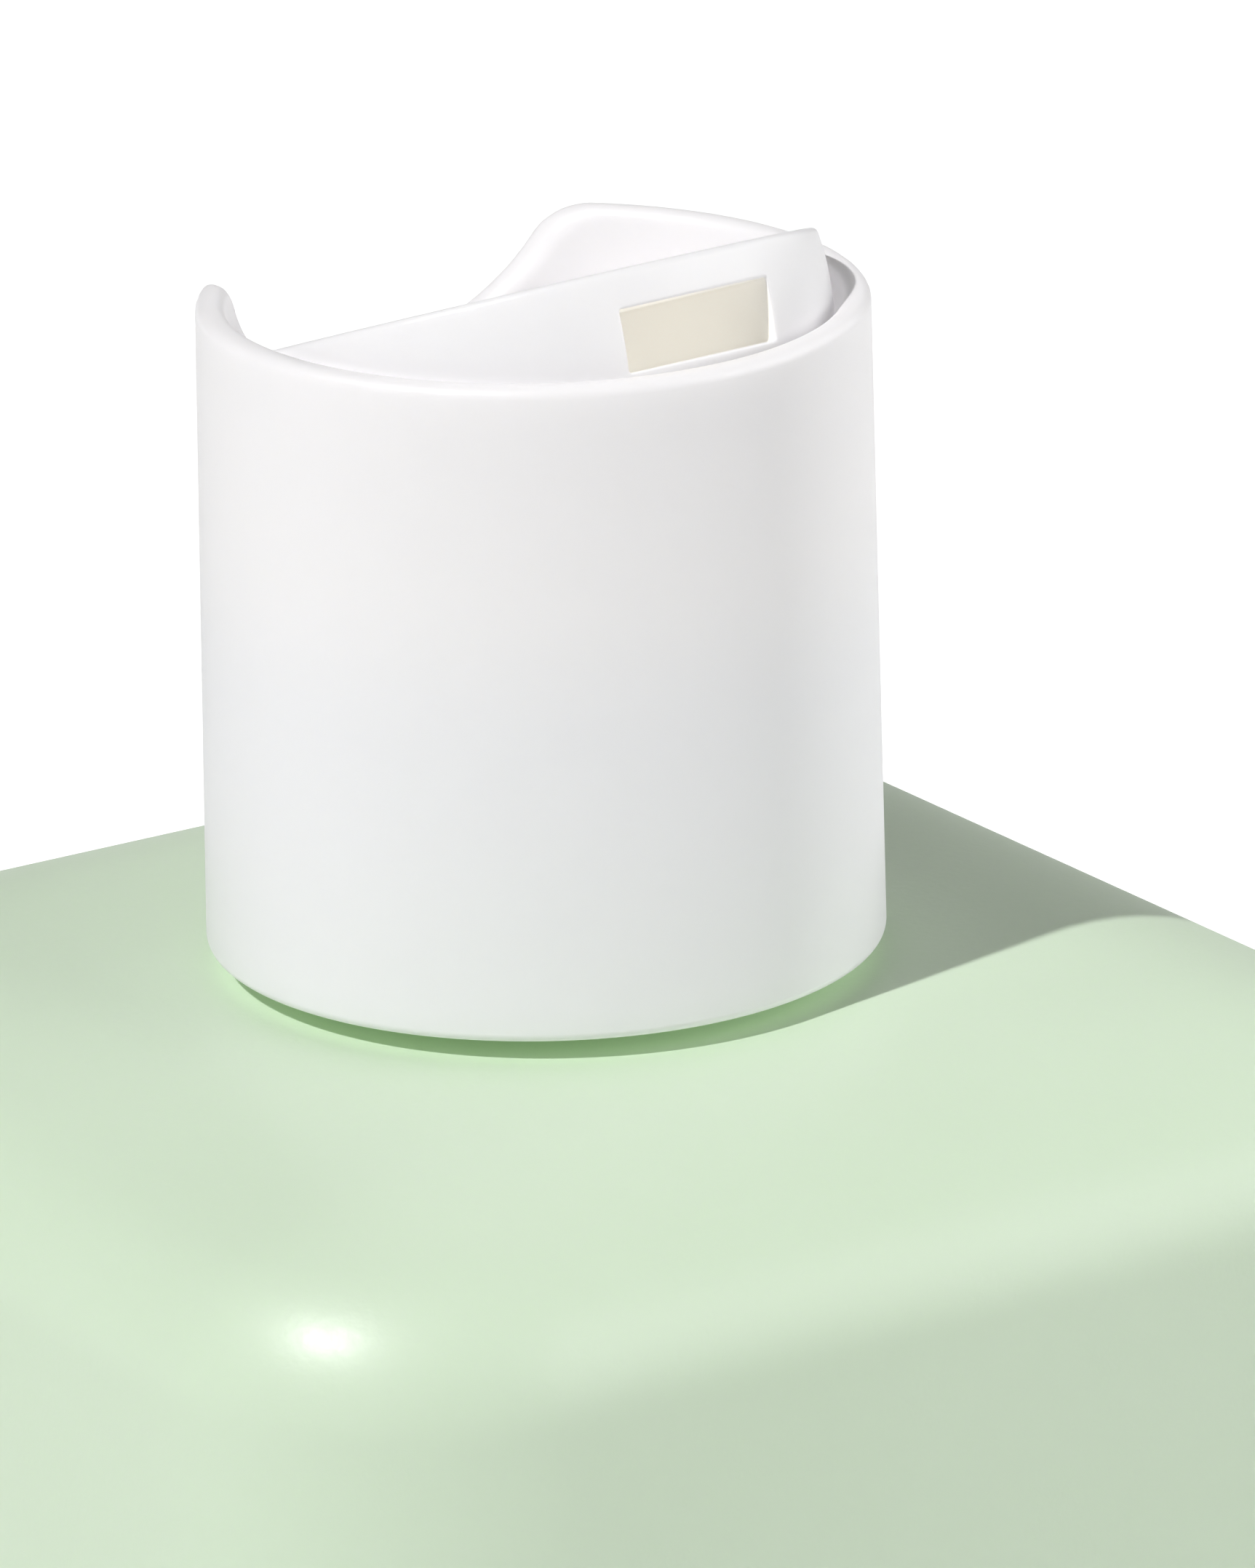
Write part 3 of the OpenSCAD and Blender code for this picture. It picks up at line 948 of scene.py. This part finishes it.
def pp_injection_moulded(name, painted_lit_hex, painted_shade_hex, roughness, glow):
    """White PP with painted shade: a darker base colour low on the wall, where the deck or the neck
    stands behind it, and a lighter one high up
    """
    material, tree, at = new_material(name)
    place = add_node(tree, "ShaderNodeSeparateXYZ", {"Vector": at})
    # painted shade: share of the lighter tone, rising with height, standing in for light let
    # through the free wall
    free = add_node(tree, "ShaderNodeMapRange", {
        "interpolation_type": "SMOOTHSTEP", "Value": place.outputs["Z"],
        "From Min": (cap_low.z + PAINTED_SHADE_BELOW) * MM, "From Max": (cap_low.z + PAINTED_LIT_ABOVE) * MM})
    shade = add_node(tree, "ShaderNodeMix", {
        "data_type": "RGBA", 0: free.outputs["Result"], 6: colour(painted_shade_hex), 7: colour(painted_lit_hex)})
    flow = add_node(tree, "ShaderNodeTexNoise", {"Vector": at, "Scale": per_mm(7), "Detail": 2})
    fine = add_node(tree, "ShaderNodeTexNoise", {"Vector": at, "Scale": per_mm(0.3), "Detail": 2})
    soft = add_node(tree, "ShaderNodeBump", {
        "Strength": 0.3, "Distance": 0.03 * MM, "Height": flow.outputs["Fac"]})
    grain = add_node(tree, "ShaderNodeBump", {
        "Strength": 0.12, "Distance": 0.015 * MM, "Height": fine.outputs["Fac"],
        "Normal": soft.outputs["Normal"]})
    gloss = add_node(tree, "ShaderNodeMapRange", {
        "Value": flow.outputs["Fac"], "To Min": roughness - 0.03, "To Max": roughness + 0.03})
    skin = add_node(tree, "ShaderNodeBsdfPrincipled", {
        "Base Color": shade.outputs[2], "Roughness": gloss.outputs["Result"], "IOR": 1.49,
        "Subsurface Weight": 0.3, "Subsurface Radius": (1, 0.97, 0.9), "Subsurface Scale": 1.5 * MM,
        # painted glow: an emission in the deep corners, in the darker tone, standing in for bounced
        # light
        "Emission Color": painted_corner_glow(tree, 5, painted_shade_hex), "Emission Strength": glow,
        "Normal": grain.outputs["Normal"]})
    add_node(tree, "ShaderNodeOutputMaterial", {"Surface": skin.outputs["BSDF"]})
    return material


# %% [markdown]
# PE foam is a mass of tiny closed cells. It has no shine at all, and its cells
# show as small dimples.

# %% PE foam
def pe_foam():
    material, tree, at = new_material("PE foam")
    cells = add_node(tree, "ShaderNodeTexVoronoi", {"Vector": at, "Scale": per_mm(0.35)})
    shade = add_node(tree, "ShaderNodeMix", {
        "data_type": "RGBA", 0: cells.outputs["Distance"],
        6: colour("#E2E2DA"), 7: colour("#F0F0E9")})
    dimples = add_node(tree, "ShaderNodeBump", {
        "Strength": 0.6, "Distance": 0.06 * MM, "Height": cells.outputs["Distance"]})
    foam = add_node(tree, "ShaderNodeBsdfPrincipled", {
        "Base Color": shade.outputs[2], "Roughness": 0.9, "Normal": dimples.outputs["Normal"]})
    add_node(tree, "ShaderNodeOutputMaterial", {"Surface": foam.outputs["BSDF"]})
    return material


# %% [markdown]
# Each piece takes its finish, stands for its solid and rides on its body, so that it moves when the
# cap is screwed off or the disc is pressed. The walls of the spout's channel stand so close that
# light goes from one to the next and comes out warmer. Their finish paints that light, with a warm
# cream colour and a stronger painted glow.

# %% Finishes and bodies
def dress(piece, material, node, body):
    """Give a piece its finish, and let it stand for a solid on its body"""
    piece.data.materials.clear()
    piece.data.materials.append(material)
    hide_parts(node)
    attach(piece, body)


dress(bottle, hdpe_blow_moulded(), "bottle", "bottle")
dress(liner, pe_foam(), "seal_liner", "liner")
# painted shade: the cap's second, darker colour is used low on its wall
dress(cap, pp_injection_moulded("PP injection-moulded cap", "#F1EFF0", "#ECEBEE", 0.38, 0.15),
      "cap_shell", "cap")
dress(disc, pp_injection_moulded("PP injection-moulded disc", "#F0EFF0", "#F0EFF0", 0.34, 0.15),
      "press_disc", "disc")
# painted light: the channel's warm cream colour and stronger glow stand in for light passed between
# its close walls
disc.data.materials.append(
    pp_injection_moulded("PP injection-moulded channel", "#F1EFEA", "#F1EFEA", 0.5, 0.42))
for index in channel_faces:
    disc.data.polygons[index].material_index = 1
print("Dressed:", bottle.name, liner.name, cap.name, disc.name)

# %% [markdown]
# The bottle stands on white paper. To the camera the paper adds a little glow of
# its own, so it reaches pure white in the light and still keeps a soft shadow.
# It lies a hair below the base, so that the two faces don't coincide.

# %% Paper floor
FLOOR_REACH = 6000
FLOOR_Z = -0.1
PAPER_GLOW = 0.35

floor_mesh = bpy.data.meshes.new("paper_floor")
floor_mesh.from_pydata([Vector((x * FLOOR_REACH, y * FLOOR_REACH, FLOOR_Z)) * MM
                        for x, y in ((-1, -1), (1, -1), (1, 1), (-1, 1))], [], [(0, 1, 2, 3)])
floor = bpy.data.objects.new("paper_floor", floor_mesh)
bpy.context.scene.collection.objects.link(floor)


def white_paper():
    material, tree, at = new_material("Paper matt white")
    fibres = add_node(tree, "ShaderNodeTexNoise", {"Vector": at, "Scale": per_mm(2), "Detail": 4})
    bump = add_node(tree, "ShaderNodeBump", {
        "Strength": 0.1, "Distance": 0.05 * MM, "Height": fibres.outputs["Fac"]})
    paper = add_node(tree, "ShaderNodeBsdfDiffuse", {
        "Color": colour("#EDEDED"), "Normal": bump.outputs["Normal"]})
    rays = add_node(tree, "ShaderNodeLightPath")
    glow = add_node(tree, "ShaderNodeMath", {
        "operation": "MULTIPLY", 0: rays.outputs["Is Camera Ray"], 1: PAPER_GLOW})
    light = add_node(tree, "ShaderNodeEmission", {
        "Color": (1, 1, 1, 1), "Strength": glow.outputs[0]})
    both = add_node(tree, "ShaderNodeAddShader", {0: paper.outputs[0], 1: light.outputs[0]})
    add_node(tree, "ShaderNodeOutputMaterial", {"Surface": both.outputs[0]})
    return material


floor_mesh.materials.append(white_paper())
print("Floor", 2 * FLOOR_REACH * MM, "m wide")

# %% [markdown]
# The key light is small and far away, on the left and a little to the front: it
# throws the crisp shadow of the cap across the shoulder. Three lamps as broad as
# windows fill the other sides, and light from so many directions leaves no edge.
# The room itself gives little light. To the camera it is white, and in
# reflections it is a dim grey, so that the plastic keeps its colour.

# %% Light
def sun(name, azimuth, elevation, strength, angle):
    """A distant lamp, in degrees, with azimuth from the front; strength 1 lights white as white"""
    lamp = bpy.data.lights.new(name, "SUN")
    lamp.energy = strength * pi
    lamp.angle = radians(angle)
    holder = bpy.data.objects.new(name, lamp)
    turn, rise = radians(azimuth), radians(elevation)
    towards = Vector((sin(turn) * cos(rise), -cos(turn) * cos(rise), sin(rise)))
    holder.rotation_euler = towards.to_track_quat("Z", "Y").to_euler()
    bpy.context.scene.collection.objects.link(holder)


ROOM = 0.03                                   # strength of the room as a light
MIRRORED = 0.25                               # and in reflections
sun("key", -78.8, 47.5, 0.96, 1.5)
sun("fill", 46, 16, 0.45, 50)
sun("side_fill", 88, 13, 0.3, 50)
sun("back_fill", 150, 30, 0.04, 50)

world = bpy.data.worlds.new("room")
bpy.context.scene.world = world
world.use_nodes = True
tree = world.node_tree
tree.nodes.clear()
rays = add_node(tree, "ShaderNodeLightPath")
mirrored = add_node(tree, "ShaderNodeMath", {
    "operation": "MULTIPLY_ADD", 0: rays.outputs["Is Glossy Ray"], 1: MIRRORED - ROOM, 2: ROOM})
strength = add_node(tree, "ShaderNodeMath", {
    "operation": "MULTIPLY_ADD", 0: rays.outputs["Is Camera Ray"],
    1: 1 - ROOM, 2: mirrored.outputs[0]})
room = add_node(tree, "ShaderNodeBackground", {
    "Color": (1, 1, 1, 1), "Strength": strength.outputs[0]})
add_node(tree, "ShaderNodeOutputWorld", {"Surface": room.outputs[0]})
print("Four lamps and a room of strength", ROOM)

# %% [markdown]
# The picture is a close packshot: a long lens, from the left front and a little
# above, that cuts the bottle off below its shoulder. The camera looks at a point
# beside the middle of the cap's foot and is tilted by about a degree.

# %% Camera
IMAGE_H = 2156                                # pixels of the picture, on its long side
FOCAL = 17233                                 # focal length in the same pixels
SENSOR = 36
AZIMUTH = radians(-32.934)
ELEVATION = radians(18.511)
ROLL = radians(-1.089)
DISTANCE = 516.205
AIM_SIDE = 3.459
AIM_UP = 6.275

back = Vector((sin(AZIMUTH) * cos(ELEVATION), -cos(AZIMUTH) * cos(ELEVATION), sin(ELEVATION)))
across = Vector((cos(AZIMUTH), sin(AZIMUTH), 0))
upward = back.cross(across)
aim = across * AIM_SIDE + Vector((0, 0, cap_low.z + AIM_UP))
turned_across = across * cos(ROLL) + upward * sin(ROLL)
turned_upward = upward * cos(ROLL) - across * sin(ROLL)
lens = bpy.data.cameras.new("camera")
lens.sensor_width = SENSOR
lens.lens = FOCAL * SENSOR / IMAGE_H
lens.clip_start = 0.01
lens.clip_end = 50
camera = bpy.data.objects.new("camera", lens)
camera.matrix_world = Matrix.Translation((aim + back * DISTANCE) * MM) @ Matrix(
    (turned_across, turned_upward, back)).transposed().to_4x4()
bpy.context.scene.collection.objects.link(camera)
bpy.context.scene.camera = camera
bpy.context.scene.view_settings.view_transform = "Standard"
print(f"Camera {DISTANCE:.0f} mm away with a {lens.lens:.0f} mm lens")
